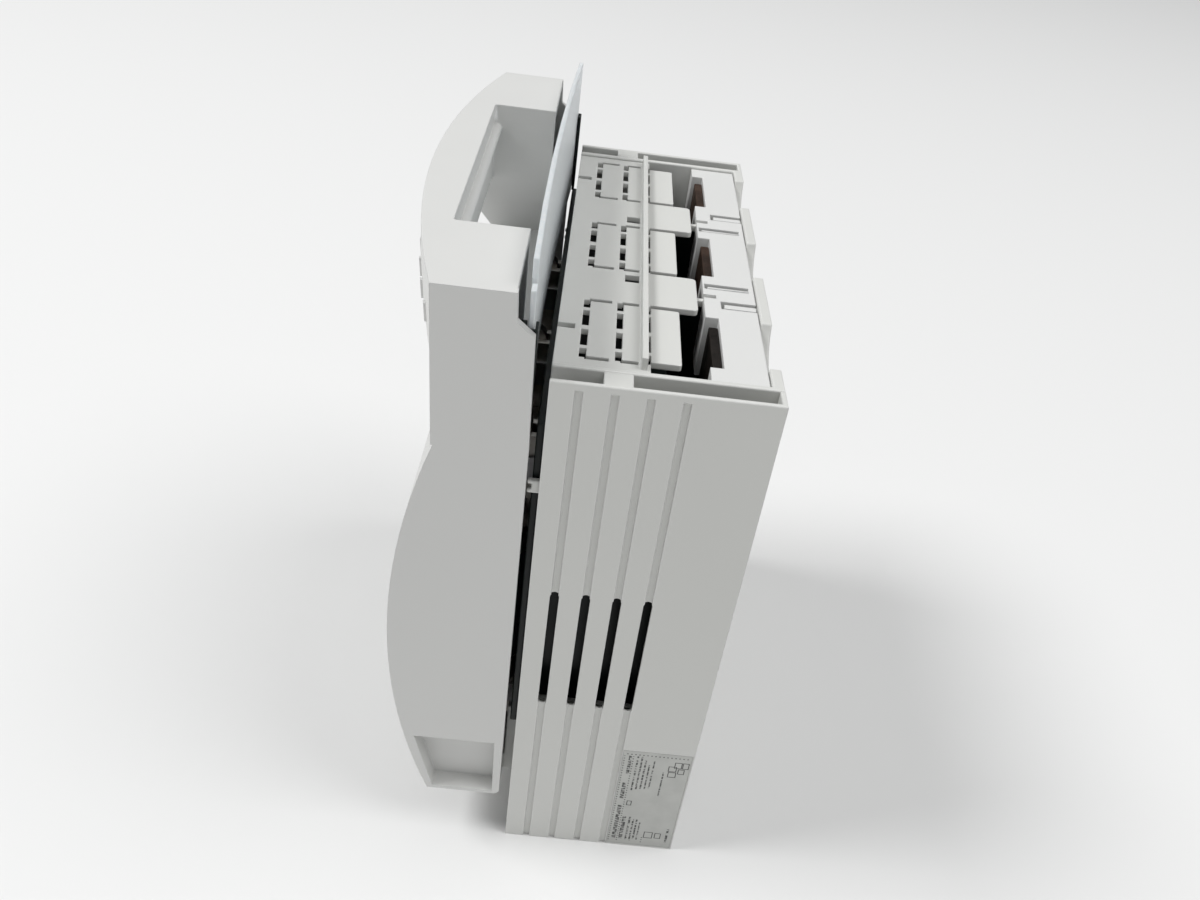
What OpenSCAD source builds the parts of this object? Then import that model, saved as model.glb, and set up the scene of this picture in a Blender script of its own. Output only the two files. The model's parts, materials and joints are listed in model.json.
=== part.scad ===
// Three-pole fused disconnect switch with a tilting fuse cover and a clear hand guard.
// Frame: the front faces -Y, the width runs along X, +Z is up, and the origin is on the
// resting plane under the centre of the body. Inside each node y = 0 is the base's front face.

/* [Base] */
// Distance between the centres of neighbouring poles
pole_pitch = 58.7; // [56:0.1:72]
// Width added outside the outer poles, on each side
end_margin = 3.95; // [3.5:0.05:8]
// Depth of the base from its front face to its back
base_d = 67.1; // [64:0.1:90]
// Height of the base
base_h = 217.8; // [214:0.1:280]
// Thickness of the outer side skins
skin = 1.5; // [1.2:0.1:2.5]
// Width of the air gap between a side skin and the inner wall
side_gap = 6.5; // [5:0.1:9]
// Thickness of the inner side walls
wall = 2; // [1.6:0.1:3]
// Thickness of the back wall
back_wall = 3.6; // [3:0.1:6]

/* [Side covers] */
// Distance between the grooves
groove_pitch = 10.2; // [8:0.1:11]
// Depth from the front face to the first groove
groove_first = 8.46; // [6:0.01:10]
// Width of a groove
groove_w = 2.4; // [1:0.1:3]
// Depth of a groove
groove_depth = 0.9; // [0.3:0.1:0.9]
// Width of a ventilation slot
vent_w = 3; // [2:0.1:4]
// Length of a ventilation slot
vent_len = 55; // [30:1:80]
// Width of the rating label
label_w = 26; // [15:1:26]
// Height of the rating label
label_h = 59.6; // [30:0.1:60]

/* [End covers] */
// Thickness of the end cover plates
plate_t = 2; // [1.5:0.1:3]
// Recess of the end cover plates below the ends of the base
plate_drop = 1; // [0.5:0.1:2]
// Half width of a break-out tab
tab_half = 17.5; // [14:0.1:18]
// Half width of a tongue between two poles
tongue_half = 11; // [8:0.1:11]
// Height of the cross rib over the end of the base
rib_rise = 3; // [2:0.1:5]

/* [Fuse] */
// Length of a fuse over its blades
fuse_len = 146; // [140:1:150]
// Length of the fuse body with its caps
body_len = 76.2; // [70:0.1:80]
// Radius of the end caps
cap_r = 20.65; // [18:0.05:21]
// Width of a blade
blade_w = 28.6; // [20:0.1:29]
// Thickness of a blade
blade_t = 4.8; // [3:0.1:5]
// Distance from the base's front face forward to the fuse axis
fuse_out = 19; // [18.6:0.1:20]

/* [Contacts] */
// Thickness of a jaw's prongs
prong_t = 2.5; // [2:0.1:3]
// Height of a jaw
jaw_h = 26; // [20:1:28]
// Width of the copper bars
bar_w = 24; // [18:1:25]
// Thickness of the copper bars
bar_t = 3; // [2:0.1:3.2]
// Radius of the hole in a terminal bar
terminal_r = 4.5; // [3.5:0.1:5]
// Distance from the end of the base to a terminal hole
terminal_drop = 26; // [22:0.1:30]

/* [Cover] */
// Height of the cover's lower edge
cover_foot = 26; // [24:0.1:30]
// Rise of the handle above the base
handle_rise = 25.7; // [20:0.1:40]
// Gap between the cover's rear edge and the base
cover_gap = 4; // [4:0.1:6]
// Distance from the base to the front of the belly
belly_out = 46.2; // [46:0.1:52]
// Distance from the base to the front edge of the cheeks
cheek_out = 33.2; // [32:0.1:34]
// Thickness of the cover's walls
cover_wall = 2.5; // [2:0.1:2.6]
// Width of the hand opening
grip_w = 104; // [90:1:110]
// Height of the front band of the handle
grip_band_h = 28.5; // [20:0.1:32]
// Distance from the base to the middle of the handle's front
handle_out = 47; // [45:0.1:50]

/* [Hinge] */
// Distance from the base forward to the hinge axis
hinge_out = 8.5; // [8.5:0.1:9]
// Height of the hinge axis
hinge_z = 33; // [33:0.1:34]
// Radius of the hinge pins
pin_r = 2.5; // [2:0.1:2.6]

/* [Hand guard] */
// Thickness of the clear plate
guard_t = 1.6; // [1.2:0.1:1.8]
// Height of the clear plate
guard_h = 53; // [45:1:55]
// Rise of the raised clear plate above the handle
guard_rise = 8.5; // [8:0.1:9.5]
// Forward bow of the clear plate across its width
guard_bow = 1.6; // [1:0.1:2]
// Turn of the clear plate about the vertical, in degrees
guard_turn = 0.9; // [0:0.05:1]

/* [Fits] */
// Radial clearance of the hinge pins
running = 0.05; // [0.02:0.01:0.1]
// Clearance between a blade and each jaw prong
blade_fit = 0.05; // [0.02:0.01:0.1]
// Gap between fixed pieces that stand side by side
seam = 0.3; // [0.2:0.05:0.4]
// Clearance of the clear plate in its rails
guard_fit = 0.35; // [0.3:0.05:0.5]

/* [Hidden] */
$fn = 96;

light_grey = [0.83, 0.83, 0.81];
pale_grey = [0.87, 0.87, 0.85];
black = [0.08, 0.09, 0.09];
copper = [0.62, 0.40, 0.28];
silver = [0.75, 0.75, 0.74];
steel = [0.6, 0.6, 0.62];

// Overall sizes
base_w = 3*pole_pitch + 2*end_margin;
half_w = base_w/2;
inner_x = half_w - skin - side_gap;
inner_half = inner_x - wall;
mid_z = base_h/2;
gap_x = pole_pitch/2;
face_y = (base_d + handle_out)/2 - base_d;
back_y = base_d - back_wall;
over = 1;

// End covers and terminals, as depths from the front face
plate_z = base_h - plate_drop - plate_t;
rib_y = 25.5;
rib_t = 1.8;
tab_end = 37.6;
tongue_end = 43.8;
block_front = 46;
bar_back = 50.1;
block_back = base_d - back_wall - seam;
deck_drop = 22.8;
terminal_block_h = 47;
key_slot_h = 8;
key_slot_w = 1.2;
bar_end_drop = 2.7;
nut_af = 13;
nut_t = 6.5;
nut_bore = 4.15;
nut_relief = 5.4;
ledge_t = 3.4;
scallop_r = 14;
scallop_rise = 3.8;
tab_slit = 1.8;
nose_half = 0.9;
nose_t = 1.8;

// Side covers
bridge_front = 15;
bridge_back = 23.5;
bridge_wall = 1.6;
latch_out = 3.7;
latch_lo = 66.8;
latch_hi = 71.4;
latch_lip = 1.2;

// Contact block
flange_out = 2.4;
block_lo = 24;
block_hi = base_h - 18;
flange_lo = 66;
flange_half = half_w - 4;
body_half = inner_half - seam;
low_half = half_w - 16.1;
low_flange_lo = hinge_z + 12;
cell_depth = 36;
liner_depth = 44;
cell_half = 14.5;
cell_lo = body_len/2 + 0.5;
cell_hi = 82;
cell_wall = 2.5;
recess_r = cap_r + 2.35;
recess_half_h = body_len/2 + 8;
tunnel_r = 5.7;
tunnel_wall = 2.3;

// Jaws, off the middle of the base
fuse_y = -fuse_out;
jaw_off = (body_len + fuse_len)/4;
prong_in = blade_t/2 + blade_fit;
prong_front = -24;
web_back = 6;
web_t = 3;
leaf_t = 1.2;
leaf_h = 10;
leg_off = cell_lo + 2.4;
jaw_screw_x = 8.6;
jaw_screw_z = 9;
jaw_screw_r = 2;
arc_off = 75.6;
arc_pitch = 2.4;

// Mounting holes through the back
mount_dz = 40;
mount_r = 3.2;
mount_head_r = 5.7;
mount_seat = 5;

// Cover
cover_top = base_h + handle_rise;
kink_z = cover_top - 51.5;
floor_z = kink_z + 3;
belly_sag = 14.6;
belly_half_h = kink_z - mid_z + 0.2;
belly_r = (pow(belly_half_h, 2) + pow(belly_sag, 2))/(2*belly_sag);
belly_y = belly_r - belly_out;
grip_half = grip_w/2;
grip_front = 33.3;
grip_corner = 1;
grip_bead_r = 2;
grip_bead_drop = 8.8;
guard_zone = 10.6;
band_z = cover_top - grip_band_h;
handle_bulge = 13.4;
mark_rise = 0.6;
mark_half_w = 0.8;
mark_half_h = 2.8;
mark_x = 17;
mark_pitch = 13;
handle_r = (pow(half_w, 2) + pow(handle_bulge, 2))/(2*handle_bulge);
handle_axis_y = handle_r - handle_out;
lean_r = 180;
cover_in = half_w - cover_wall;
recess_d = 6.5;
liner_t = 2;
hinge_rib_x0 = half_w - 15.7;
hinge_rib_x1 = half_w - 13.5;
window_half_w = 12;
window_half_h = 22;
probe_off = 46;
probe_r = 2;

// Hinge brackets
bracket_lo = half_w - 13;
bracket_hi = half_w - 10.3;
bracket_nose_r = 4.2;
bracket_root = 20;
bracket_screw_y = 13;
bracket_screw_z = [hinge_z + 5, hinge_z + 25];
bracket_top = flange_lo - 0.3;

// Fuse frame
beam_off = 24;
beam_h = 8;
beam_front = -41.6;
beam_back = -14;
clip_off = 14;
clip_h = 8;
clip_t = 0.8;
tube_r = cap_r - 0.45;
frame_half = cover_in - 2;

// Hand guard
guard_half = half_w - 4;
guard_top = cover_top + guard_rise;
guard_y = -5.1;
guard_r = (pow(guard_half, 2) + pow(guard_bow, 2))/(2*guard_bow);
rail_x0 = half_w - 7.8;
rail_x1 = cover_in - 0.1;
rail_half = 2.05;
rail_front = guard_zone - 0.1;
rail_lo = max(floor_z + 1, block_hi + 0.6);
rail_hi = cover_top - 12;

// Shape helpers

module placed() {
    translate([0, face_y, 0]) children();
}

module slab(x, y, z) {
    translate([x[0], y[0], z[0]]) cube([x[1] - x[0], y[1] - y[0], z[1] - z[0]]);
}

module rod_x(r, x, y, z) {
    translate([x[0], y, z]) rotate([0, 90, 0]) cylinder(r = r, h = x[1] - x[0]);
}

module rod_y(r, x, y, z) {
    translate([x, y[0], z]) rotate([-90, 0, 0]) cylinder(r = r, h = y[1] - y[0]);
}

module rod_z(r, x, y, z) {
    translate([x, y, z[0]]) cylinder(r = r, h = z[1] - z[0]);
}

// A plate drawn as an outline of [y, z] points and given a thickness along X
module profile_x(x, points) {
    translate([x[0], 0, 0]) rotate([90, 0, 90]) linear_extrude(x[1] - x[0]) polygon(points);
}

module both_sides() {
    children();
    mirror([1, 0, 0]) children();
}

module each_pole() {
    for (i = [-1:1]) translate([i*pole_pitch, 0, 0]) children();
}

module each_gap() {
    for (i = [-1, 1]) translate([i*gap_x, 0, 0]) children();
}

// Turns a shape made for the top end over to the bottom end
module bottom_end() {
    translate([0, 0, base_h]) mirror([0, 0, 1]) children();
}

module both_ends() {
    children();
    bottom_end() children();
}

module pole(i) {
    translate([(i - 2)*pole_pitch, 0, 0]) children();
}

// Base

module base_housing() color(light_grey) placed() difference() {
    union() {
        both_sides() slab([inner_half, inner_x], [0, back_y + over], [0, base_h]);
        slab([-inner_x, inner_x], [back_y, base_d], [0, base_h]);
        slab([-inner_x, inner_x], [0, 2.5], [plate_drop + plate_t + seam, block_lo - 0.4]);
        slab([-inner_x, inner_x], [0, 2.5], [block_hi + 0.4, plate_z - seam]);
        each_gap() slab([-1, 1], [liner_depth, back_y + over],
            [terminal_block_h + seam, base_h - terminal_block_h - seam]);
        each_gap() for (dz = [-mount_dz, 0, mount_dz])
            rod_y(tunnel_r + 1.6, 0, [cell_depth + seam, back_y + over], mid_z + dz);
        both_ends() both_sides() slab([inner_half - wall, inner_half + over], [2, rib_y - 1.5],
            [plate_z - 0.1 - ledge_t, plate_z - 0.1]);
    }
    both_ends() each_pole() rod_y(scallop_r, 0, [back_y - over, base_d + over], base_h + scallop_rise);
    both_sides() for (i = [0:3]) slab([inner_half - over, inner_x + over],
        [groove_y(i) - vent_w, groove_y(i) + vent_w],
        [mid_z - vent_len/2 - side_gap, mid_z + vent_len/2]);
    each_gap() for (dz = [-mount_dz, mount_dz]) {
        rod_y(mount_r, 0, [cell_depth, base_d + over], mid_z + dz);
        rod_y(mount_head_r, 0, [cell_depth - over, base_d - mount_seat], mid_z + dz);
    }
    each_gap() rod_y(2, 0, [cell_depth, back_y], mid_z);
}

function groove_y(i) = groove_first + i*groove_pitch;

module side_cover() difference() {
    union() {
        slab([half_w - skin, half_w], [0, base_d], [0, base_h]);
        slab([inner_x + 0.1, half_w - skin + over], [bridge_front, bridge_back], [0, base_h]);
        slab([inner_x + 0.1, half_w - skin + over], [base_d - bridge_wall, base_d], [0, base_h]);
        slab([flange_half + 0.3, half_w - skin - 0.3], [-latch_out, 3],
            [mid_z + latch_lo, mid_z + latch_hi]);
        slab([flange_half + 0.3, half_w - skin + over], [1, 3],
            [mid_z + latch_lo, mid_z + latch_hi]);
    }
    slab([flange_half, half_w], [-latch_out - over, 1.3 - latch_out],
        [mid_z + latch_lo + latch_lip, mid_z + latch_hi - latch_lip]);
    for (i = [0:3]) {
        slab([half_w - groove_depth, half_w + over],
            [groove_y(i) - groove_w/2, groove_y(i) + groove_w/2], [-over, base_h - 2.5]);
        slab([half_w - skin - over, half_w + over],
            [groove_y(i) - vent_w/2, groove_y(i) + vent_w/2],
            [mid_z - (vent_len - vent_w)/2, mid_z + (vent_len - vent_w)/2]);
        for (s = [-1, 1]) rod_x(vent_w/2, [half_w - skin - over, half_w + over], groove_y(i),
            mid_z + s*(vent_len - vent_w)/2);
    }
    slab([inner_x, half_w - skin], [bridge_front + bridge_wall, bridge_back - bridge_wall],
        [mid_z - vent_len/2 - side_gap, mid_z + vent_len/2 + vent_w]);
}

module side_cover_right() color(light_grey) placed() difference() {
    side_cover();
    label_pocket();
}

module side_cover_left() color(light_grey) placed() mirror([1, 0, 0]) side_cover();

module label_pocket() slab([half_w - 0.3, half_w + over],
    [base_d - 0.5 - label_w, base_d - 0.5], [0.8, 0.8 + label_h]);

module rating_label() color(pale_grey) placed() slab([half_w - 0.28, half_w - 0.03],
    [base_d - 0.35 - label_w, base_d - 0.65], [0.95, 0.65 + label_h]);

// End cover plate with break-out tabs, drawn for the top end
module end_plate() difference() {
    union() {
        slab([-body_half, body_half], [0, rib_y + 2.9], [plate_z, plate_z + plate_t]);
        each_pole() rounded_tongue(tab_half - 1.3, tab_end, 0.8);
        each_gap() rounded_tongue(tongue_half, tongue_end, 1.5);
        each_gap() slab([-nose_half, nose_half], [tongue_end - over, bar_back - 1],
            [plate_z - nose_t, plate_z + 0.4]);
    }
    each_pole() {
        hole_column(7.3, 9.4);
        hole_column(17.9, 19.9);
        hole_column(27.4, 28.5);
        for (s = [-1, 1]) {
            plate_cut([s*tab_half - tab_slit/2, s*tab_half + tab_slit/2], [9, 16.1]);
            plate_cut([s*tab_half - tab_slit/2, s*tab_half + tab_slit/2], [19.5, 24.8]);
        }
    }
    both_sides() plate_cut([21, 26], [20, 24.8]);
    for (s = [-1, 1]) plate_cut([s*pole_pitch - 1.5, s*pole_pitch + 1.5], [-over, 5.3]);
}

module rounded_tongue(half, end, r) translate([0, 0, plate_z]) linear_extrude(plate_t) union() {
    translate([-half, 24]) square([2*half, end - r - 24]);
    translate([-half + r, 24]) square([2*half - 2*r, end - 24]);
    for (s = [-1, 1]) translate([s*(half - r), end - r]) circle(r = r);
}

module plate_cut(x, y) slab(x, y, [plate_z - over, plate_z + plate_t + over]);

module hole_column(y0, y1) for (s = [-1, 1]) {
    plate_cut([min(s*1.2, s*10.7), max(s*1.2, s*10.7)], [y0, y1]);
    plate_cut([min(s*12.4, s*tab_half), max(s*12.4, s*tab_half)], [y0, y1]);
}

module top_cover() color(light_grey) placed() {
    end_plate();
    slab([-inner_half + 2.4, inner_half - 2.4], [rib_y, rib_y + rib_t],
        [plate_z + 0.5, base_h + rib_rise]);
}

module bottom_cover() color(light_grey) placed() bottom_end() end_plate();

// Terminal block with cable notches and captive nut pockets, drawn for the top end
module terminal_block() difference() {
    union() {
        slab([-body_half, body_half], [bar_back + 0.1, block_back],
            [base_h - terminal_block_h, base_h - plate_drop]);
        slab([-body_half, body_half], [block_front, block_back],
            [base_h - deck_drop, base_h - plate_drop]);
    }
    each_pole() {
        slab([-15, 15], [block_front - over, bar_back + 0.1], [0, base_h]);
        nut_shape(nut_af + 0.4, [bar_back, bar_back + 0.2 + nut_t], base_h - terminal_drop);
        rod_y(nut_relief, 0, [bar_back, block_back - 2], base_h - terminal_drop);
    }
    each_gap() slab([-1.1, 1.1], [block_front - over, bar_back + 0.1], [0, base_h]);
    both_sides() translate([gap_x, 0, 0]) {
        key_slot([2.7, 7.7], [51.5, block_back + over]);
        key_slot([-8.6, -5.2], [block_front + 0.6, 61.5]);
    }
}

// Slot round a thin tongue, cut into the end of a terminal block
module key_slot(x, y) difference() {
    slab(x, y, [base_h - key_slot_h, base_h]);
    slab([x[0] + key_slot_w, x[1] - key_slot_w], [y[0] + key_slot_w, y[1] + over],
        [base_h - key_slot_h - over, base_h - plate_drop - 0.4]);
}

// Hexagon with flat sides facing X, across flats af
module nut_shape(af, y, z) translate([0, y[0], z]) rotate([-90, 30, 0])
    cylinder(r = af/sqrt(3), h = y[1] - y[0], $fn = 6);

module terminal_block_top() color(pale_grey) placed() terminal_block();

module terminal_block_bottom() color(pale_grey) placed() bottom_end() terminal_block();

module terminal_nuts() color(steel) placed() both_ends() each_pole() difference() {
    nut_shape(nut_af, [bar_back + 0.15, bar_back + 0.15 + nut_t], base_h - terminal_drop);
    rod_y(nut_bore, 0, [bar_back, bar_back + 1 + nut_t], base_h - terminal_drop);
}

module phase_barriers() color(black) placed() both_ends() each_gap()
    slab([-0.8, 0.8], [cell_depth + 0.3, bar_back - 0.3],
        [base_h - terminal_block_h, plate_z - nose_t - seam]);

module contact_block() color(black) placed() difference() {
    union() {
        slab([-flange_half, flange_half], [-flange_out, 0], [flange_lo, block_hi]);
        slab([-low_half, low_half], [-flange_out, 0], [low_flange_lo, flange_lo + over]);
        slab([-body_half, body_half], [-over, 3], [flange_lo, block_hi]);
        slab([-low_half, low_half], [-over, 3], [low_flange_lo, flange_lo + over]);
        slab([-low_half, low_half], [0.6, 3], [block_lo, flange_lo]);
        both_sides() {
            slab([body_half - 2.5, body_half], [0, cell_depth], [flange_lo, block_hi]);
            slab([body_half - 2.5, body_half], [0, liner_depth], [flange_lo, base_h - flange_lo]);
            slab([low_half - 2.5, low_half], [0, cell_depth], [block_lo, flange_lo + 2]);
        }
        slab([-body_half, body_half], [0, cell_depth], [block_hi - 2.5, block_hi]);
        slab([-low_half, low_half], [0, cell_depth], [block_lo, block_lo + 1.8]);
        each_pole() rod_z(recess_r + 2.5, 0, fuse_y,
            [mid_z - recess_half_h - 2.5, mid_z + recess_half_h + 2.5]);
        both_ends() each_pole() slab([-cell_half - cell_wall, cell_half + cell_wall], [0, cell_depth],
            [mid_z + cell_lo - cell_wall, mid_z + cell_hi + cell_wall]);
        each_gap() for (dz = [-mount_dz, 0, mount_dz])
            rod_y(tunnel_r + tunnel_wall, 0, [0, cell_depth], mid_z + dz);
    }
    slab([-half_w, half_w], [-2*cap_r - fuse_out, -flange_out], [0, base_h]);
    each_pole() rod_z(recess_r, 0, fuse_y, [mid_z - recess_half_h, mid_z + recess_half_h]);
    both_ends() each_pole() slab([-cell_half, cell_half], [-flange_out - over, cell_depth + over],
        [mid_z + cell_lo, mid_z + cell_hi]);
    each_gap() {
        for (dz = [-mount_dz, mount_dz])
            rod_y(tunnel_r, 0, [-flange_out - over, cell_depth + over], mid_z + dz);
        rod_y(2.7, 0, [-flange_out - over, cell_depth + over], mid_z);
        rod_y(tunnel_r, 0, [-flange_out - over, cell_depth - 4], mid_z);
    }
}

module block_screws() color(steel) placed() each_gap() {
    rod_y(1.95, 0, [cell_depth - 5, back_y - 8], mid_z);
    difference() {
        rod_y(4.5, 0, [cell_depth - 7.5, cell_depth - 4.1], mid_z);
        translate([0, cell_depth - 8, mid_z]) rotate([-90, 0, 0]) cylinder(r = 2.3, h = 2, $fn = 6);
    }
}

// U-shaped jaw, drawn for the upper contact of the middle pole
module jaw() difference() {
    union() {
        for (s = [-1, 1]) translate([s*(prong_in + prong_t/2), 0, 0])
            slab([-prong_t/2, prong_t/2], [prong_front, web_back],
                [mid_z + jaw_off - jaw_h/2, mid_z + jaw_off + jaw_h/2]);
        slab([-bar_w/2, bar_w/2], [web_back - web_t, web_back],
            [mid_z + jaw_off - jaw_h/2, mid_z + jaw_off + jaw_h/2]);
    }
    translate([0, prong_front, mid_z]) rotate([0, 0, 45])
        slab([-4.4, 4.4], [-4.4, 4.4], [0, base_h]);
    jaw_screw_places() rod_y(jaw_screw_r + 0.05, 0, [0, web_back + over], 0);
}

module upper_jaw(i) color(copper) placed() pole(i) jaw();

module lower_jaw(i) color(copper) placed() bottom_end() pole(i) jaw();

module jaw_springs() color(steel) placed() both_ends() each_pole() both_sides() {
    x0 = prong_in + prong_t + 0.02;
    slab([x0, x0 + leaf_t], [prong_front + 5, 2.7],
        [mid_z + jaw_off - leaf_h/2, mid_z + jaw_off + leaf_h/2]);
}

module jaw_screw_places() for (s = [-1, 1])
    translate([s*jaw_screw_x, 0, mid_z + jaw_off + s*jaw_screw_z]) children();

module jaw_screws() color(steel) placed() both_ends() each_pole() jaw_screw_places() {
    rod_y(jaw_screw_r, 0, [2, web_back + bar_t + 2], 0);
    rod_y(jaw_screw_r + 1, 0, [0.4, 2.95], 0);
}

// Copper bar from a jaw's web to the terminal, drawn for the upper end of the middle pole
module bar() difference() {
    profile_x([-bar_w/2, bar_w/2], [
        [web_back, mid_z + leg_off], [bar_back, mid_z + leg_off], [bar_back, base_h - bar_end_drop],
        [bar_back - bar_t, base_h - bar_end_drop], [bar_back - bar_t, mid_z + leg_off + bar_t],
        [web_back + bar_t, mid_z + leg_off + bar_t],
        [web_back + bar_t, mid_z + jaw_off + jaw_h/2 - 0.5], [web_back, mid_z + jaw_off + jaw_h/2 - 0.5]]);
    jaw_screw_places() rod_y(jaw_screw_r + 0.05, 0, [0, web_back + bar_t + over], 0);
    rod_y(terminal_r, 0, [bar_back - bar_t - over, bar_back + over], base_h - terminal_drop);
}

module top_bar(i) color(copper) placed() pole(i) bar();

module bottom_bar(i) color(copper) placed() bottom_end() pole(i) bar();

module arc_plates() color(steel) placed() both_ends() each_pole() for (k = [0:2])
    difference() {
        slab([-cell_half + 0.2, cell_half - 0.2], [1, 24],
            [mid_z + arc_off + arc_pitch*k, mid_z + arc_off + arc_pitch*k + 1]);
        rod_z(7, 0, 1, [mid_z + arc_off - over, mid_z + cell_hi]);
    }

module hinge_brackets() color(light_grey) placed() both_sides() difference() {
    union() {
        slab([bracket_lo, bracket_hi], [-3.7, bracket_root], [hinge_z - bracket_nose_r, bracket_top]);
        slab([bracket_lo, bracket_hi], [-hinge_out, 0],
            [hinge_z - bracket_nose_r, hinge_z + bracket_nose_r]);
        rod_x(bracket_nose_r, [bracket_lo, bracket_hi], -hinge_out, hinge_z);
    }
    rod_x(pin_r + running, [bracket_lo - over, bracket_hi + over], -hinge_out, hinge_z);
    for (z = bracket_screw_z) rod_x(1.55, [bracket_lo - over, bracket_hi + over], bracket_screw_y, z);
}

module bracket_screws() color(steel) placed() both_sides() for (z = bracket_screw_z) {
    rod_x(1.5, [bracket_lo - 0.5, bracket_hi - 0.1], bracket_screw_y, z);
    rod_x(2.8, [bracket_lo - 1.9, bracket_lo - 0.1], bracket_screw_y, z);
}

// Cover

// Space under the belly's curved front, i mm inside the outer skin
module belly(i, z) intersection() {
    slab([-half_w + i, half_w - i], [-belly_out - over, -cover_gap + (i > 0 ? 2*over : 0)], z);
    rod_x(belly_r - i, [-half_w, half_w], belly_y, mid_z);
}

// Ring whose outside is the handle's bowed front, i mm inside the outer skin
module bowed_ring(i) translate([0, handle_axis_y, 0]) rotate_extrude($fn = 180) intersection() {
    translate([handle_r - i - lean_r, cover_top - 3.5]) circle(r = lean_r, $fn = 180);
    polygon([[handle_r - 60, kink_z - 4], [handle_r - 16 - i, kink_z - 4],
        [handle_r - 2 - i, kink_z + 13], [handle_r + 9, kink_z + 13],
        [handle_r + 9, cover_top - i], [handle_r - 60, cover_top - i]]);
}

module handle_solid() {
    profile_x([-half_w, half_w], [[-cover_gap, kink_z - over], [-4.9, cover_top - 13.1],
        [-10, cover_top - 8.7], [-10.4, cover_top], [-cheek_out - 0.5, cover_top],
        [-cheek_out + 0.5, kink_z - over]]);
    intersection() {
        bowed_ring(0);
        union() {
            slab([-half_w, half_w], [-handle_out - over, -15], [band_z, cover_top + over]);
            both_sides() slab([grip_half, half_w], [-handle_out - over, -15], [kink_z - 3, band_z + over]);
        }
    }
}

module cheek_hollow() both_sides() {
    slab([grip_half + cover_wall, cover_in], [-cheek_out + cover_wall, 0],
        [kink_z - 8, cover_top - cover_wall]);
    intersection() {
        bowed_ring(cover_wall);
        slab([grip_half + cover_wall, cover_in], [-handle_out, -15],
            [kink_z + 1, cover_top - cover_wall]);
    }
}

module grip_opening() {
    translate([0, 0, floor_z]) linear_extrude(handle_rise + base_h) {
        translate([-grip_half, -grip_front + grip_corner]) square([grip_w, grip_front]);
        translate([-grip_half + grip_corner, -grip_front]) square([grip_w - 2*grip_corner, 6]);
        for (s = [-1, 1]) translate([s*(grip_half - grip_corner), -grip_front + grip_corner])
            circle(r = grip_corner);
    }
    slab([-grip_half, grip_half], [-handle_out - 5, -grip_front + grip_corner + 0.5],
        [floor_z, band_z]);
}

// Hollow of the front band, open below
module band_hollow() intersection() {
    bowed_ring(cover_wall);
    slab([-grip_half + cover_wall, grip_half - cover_wall], [-handle_out, -grip_front - cover_wall],
        [kink_z, cover_top - cover_wall]);
}

// Row of short raised bars on the handle's front
module grip_marks() intersection() {
    difference() {
        bowed_ring(-mark_rise);
        bowed_ring(0.5);
    }
    for (k = [0:5]) translate([mark_x + k*mark_pitch, 0, cover_top - grip_band_h/2])
        slab([-mark_half_w, mark_half_w], [-handle_out, -cheek_out], [-mark_half_h, mark_half_h]);
}

module finger_recess_outline() polygon([[-37, cover_foot + 30.4], [-7.2, cover_foot + 30.6],
    [-6.7, cover_foot + 1.5], [-29.8, cover_foot + 1.7]]);

module finger_recess_liner() polygon([[-40.5, cover_foot + 32.6], [-cover_gap, cover_foot + 32.8],
    [-cover_gap, cover_foot + 1.5], [-5.5, cover_foot], [-33, cover_foot]]);

module along_side(x0, x1) translate([x0, 0, 0]) rotate([90, 0, 90])
    linear_extrude(x1 - x0) children();

module window(grow, i) intersection() {
    difference() {
        rod_x(belly_r - i[0], [-half_w, half_w], belly_y, mid_z);
        rod_x(belly_r - i[1], [-half_w - over, half_w + over], belly_y, mid_z);
    }
    each_pole() slab([-window_half_w - grow, window_half_w + grow], [-belly_out - 3, 0],
        [mid_z - window_half_h - grow, mid_z + window_half_h + grow]);
}

module cover_shell() color(pale_grey) placed() difference() {
    union() {
        difference() {
            union() {
                belly(0, [cover_foot, floor_z]);
                handle_solid();
            }
            belly(cover_wall, [cover_foot + cover_wall, kink_z + 0.5]);
            cheek_hollow();
            grip_opening();
            band_hollow();
            slab([-cover_in, cover_in], [-guard_zone, over], [floor_z - 12, cover_top + over]);
        }
        intersection() {
            belly(0, [cover_foot, floor_z]);
            union() {
                both_sides() along_side(half_w - recess_d - liner_t, half_w) finger_recess_liner();
                both_sides() slab([hinge_rib_x0, hinge_rib_x1], [-14, -4.5],
                    [cover_foot, hinge_z + 5]);
                each_gap() for (dz = [-beam_off, beam_off])
                    rod_y(5, 0, [-belly_out, beam_front - 0.1], mid_z + dz);
            }
        }
        rod_x(grip_bead_r, [-grip_half - over, grip_half + over], -grip_front + 0.8,
            cover_top - grip_bead_drop);
        grip_marks();
    }
    both_sides() along_side(half_w - recess_d, half_w + over) finger_recess_outline();
    both_sides() slab([bracket_lo - 0.6, bracket_hi + 0.6], [-14, 0],
        [0, cover_foot + cover_wall + over]);
    both_sides() rod_x(pin_r + running, [hinge_rib_x0 - over, half_w - recess_d - 0.6],
        -hinge_out, hinge_z);
    profile_x([-half_w - over, half_w + over],
        [[-cover_gap - 1.5, cover_foot], [-cover_gap, cover_foot + 1.5], [0, cover_foot - over]]);
    each_gap() for (dz = [-beam_off, beam_off]) rod_y(1.7, 0, [-43.2, beam_back], mid_z + dz);
    window(1, [-over, 1.3]);
    window(-1.5, [-over, cover_wall + 3]);
    for (s = [-1, 1]) each_pole() rod_y(probe_r, 0, [-belly_out - over, -30], mid_z + s*probe_off);
}

module hinge_pins() color(steel) placed() both_sides()
    rod_x(pin_r, [hinge_rib_x0, half_w - recess_d - 0.8], -hinge_out, hinge_z);

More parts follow.
